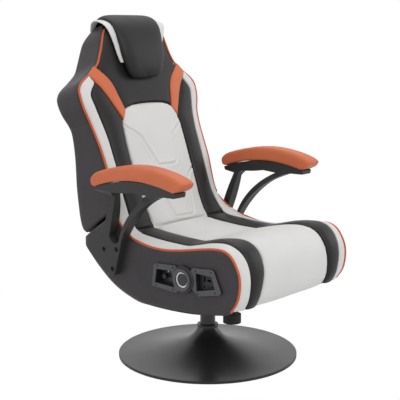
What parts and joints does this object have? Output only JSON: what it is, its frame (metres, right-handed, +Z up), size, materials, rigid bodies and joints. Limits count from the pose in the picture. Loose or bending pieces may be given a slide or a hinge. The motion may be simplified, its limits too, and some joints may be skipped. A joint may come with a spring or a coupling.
{
  "type": "gaming rocker chair",
  "caption": "Pedestal gaming chair: padded seat and folding back on a rocking, swivelling trumpet base, with moulded arms and a side control panel.",
  "frame": {"origin": "on the floor at the swivel axis", "axes": "+Z up, the chair faces -Y, +X is the sitter's left"},
  "size_m": [0.656, 0.7809, 1.0614],
  "materials": {
    "dark_trim": "soft dark edging",
    "satin_black": "satin black powder coat",
    "steel": "black painted steel",
    "nylon": "natural nylon",
    "column_black": "satin charcoal",
    "spring_steel": "plain zinc-plated steel",
    "knob_black": "fluted matt black",
    "plywood": "plain birch plywood",
    "dust_cover": "black non-woven cover",
    "black_vinyl_side": "soft charcoal vinyl",
    "black_vinyl": "soft black vinyl",
    "black_vinyl_head": "soft black vinyl over thick foam",
    "white_vinyl_seat": "soft white vinyl",
    "white_vinyl": "soft white vinyl",
    "white_vinyl_pad": "soft white vinyl with pressed seams",
    "orange_piping": "orange vinyl piping",
    "orange_vinyl": "orange vinyl, fine grain",
    "arm_plastic": "moulded, fine texture",
    "bolt_black": "black oxide",
    "panel_plastic": "moulded charcoal",
    "light_ring": "pale translucent ring",
    "socket_black": "dark insert",
    "amp_black": "plain black box",
    "dial_black": "matt black",
    "button_dark": "smooth dark cap",
    "button_pale": "small pale button"
  },
  "bodies": {
    "base": {"base_edge_ring": "dark_trim", "base_trumpet": "satin_black", "base_socket": "steel", "base_floor_plate": "steel", "neck_collar": "dark_trim", "thrust_washer": "nylon"},
    "swivel": {"swivel_column": "column_black", "tilt_bracket": "steel", "tension_spring": "spring_steel"},
    "seat": {"tilt_plate": "steel", "tilt_pin": "spring_steel", "tension_bolt": "spring_steel", "seat_frame": "plywood", "seat_deck": "plywood", "seat_underside": "dust_cover", "seat_side_left": "black_vinyl_side", "seat_side_right": "black_vinyl_side", "seat_cushion": "white_vinyl_seat", "seat_bolster_left": "black_vinyl", "seat_bolster_right": "black_vinyl", "seat_edge_left": "white_vinyl", "seat_edge_right": "white_vinyl", "seat_piping": "orange_piping", "arm_bracket_left": "arm_plastic", "arm_bracket_right": "arm_plastic", "arm_pad_left": "orange_vinyl", "arm_pad_right": "orange_vinyl", "arm_bolts": "bolt_black", "fold_plates_seat": "steel", "fold_pins": "spring_steel", "panel_rear_bezel": "panel_plastic", "panel_front_bezel": "panel_plastic", "dial_housing": "panel_plastic", "dial_light_ring": "light_ring", "socket_insert": "socket_black", "panel_screws": "bolt_black", "amplifier_box": "amp_black"},
    "knob": {"tension_knob": "knob_black"},
    "volume": {"volume_dial": "dial_black"},
    "bass": {"bass_knob": "dial_black"},
    "treble": {"treble_knob": "dial_black"},
    "power": {"power_button": "button_dark"},
    "mode": {"mode_button": "button_pale"},
    "back": {"fold_plates_back": "steel", "back_frame": "steel", "back_board": "plywood", "back_cover": "black_vinyl_side", "back_side_left": "black_vinyl_side", "back_side_right": "black_vinyl_side", "back_cushion": "white_vinyl_pad", "back_upper_panel": "black_vinyl", "back_bolster_left": "black_vinyl", "back_bolster_right": "black_vinyl", "back_edge_left": "white_vinyl", "back_edge_right": "white_vinyl", "back_straps": "orange_vinyl", "back_piping": "orange_piping", "headrest": "black_vinyl_head", "headrest_accents": "white_vinyl", "subwoofer": "amp_black"}
  },
  "joints": [
    {"name": "column_swivel", "type": "hinge", "parent": "base", "child": "swivel", "pos_m": [0, 0, 0], "axis": [0, 0, 1], "continuous": true},
    {"name": "rock", "type": "hinge", "parent": "swivel", "child": "seat", "pos_m": [0, 0.02, 0.182], "axis": [-1, 0, 0], "range_deg": [0, 12], "stiffness_Nm_per_rad": 60, "springref_deg": -22.92, "deforming": ["tension_spring"]},
    {"name": "back_fold", "type": "hinge", "parent": "seat", "child": "back", "pos_m": [0, 0.107, 0.412], "axis": [1, 0, 0], "range_deg": [0, 100]},
    {"name": "tension_turn", "type": "hinge", "parent": "seat", "child": "knob", "pos_m": [0, -0.1, 0.13], "axis": [0, 0, 1], "continuous": true},
    {"name": "volume_turn", "type": "hinge", "parent": "seat", "child": "volume", "pos_m": [-0.27, -0.137, 0.315], "axis": [-1, 0, 0], "range_deg": [-150, 150]},
    {"name": "bass_turn", "type": "hinge", "parent": "seat", "child": "bass", "pos_m": [-0.245, -0.052, 0.308], "axis": [-1, 0, 0], "range_deg": [-140, 140]},
    {"name": "treble_turn", "type": "hinge", "parent": "seat", "child": "treble", "pos_m": [-0.245, -0.078, 0.304], "axis": [-1, 0, 0], "range_deg": [-140, 140]},
    {"name": "power_press", "type": "slide", "parent": "seat", "child": "power", "axis": [1, 0, 0], "range_m": [0, 0.0015], "stiffness_N_per_m": 600, "springref_m": -0.001},
    {"name": "mode_press", "type": "slide", "parent": "seat", "child": "mode", "axis": [1, 0, 0], "range_m": [0, 0.0015], "stiffness_N_per_m": 600, "springref_m": -0.001}
  ]
}
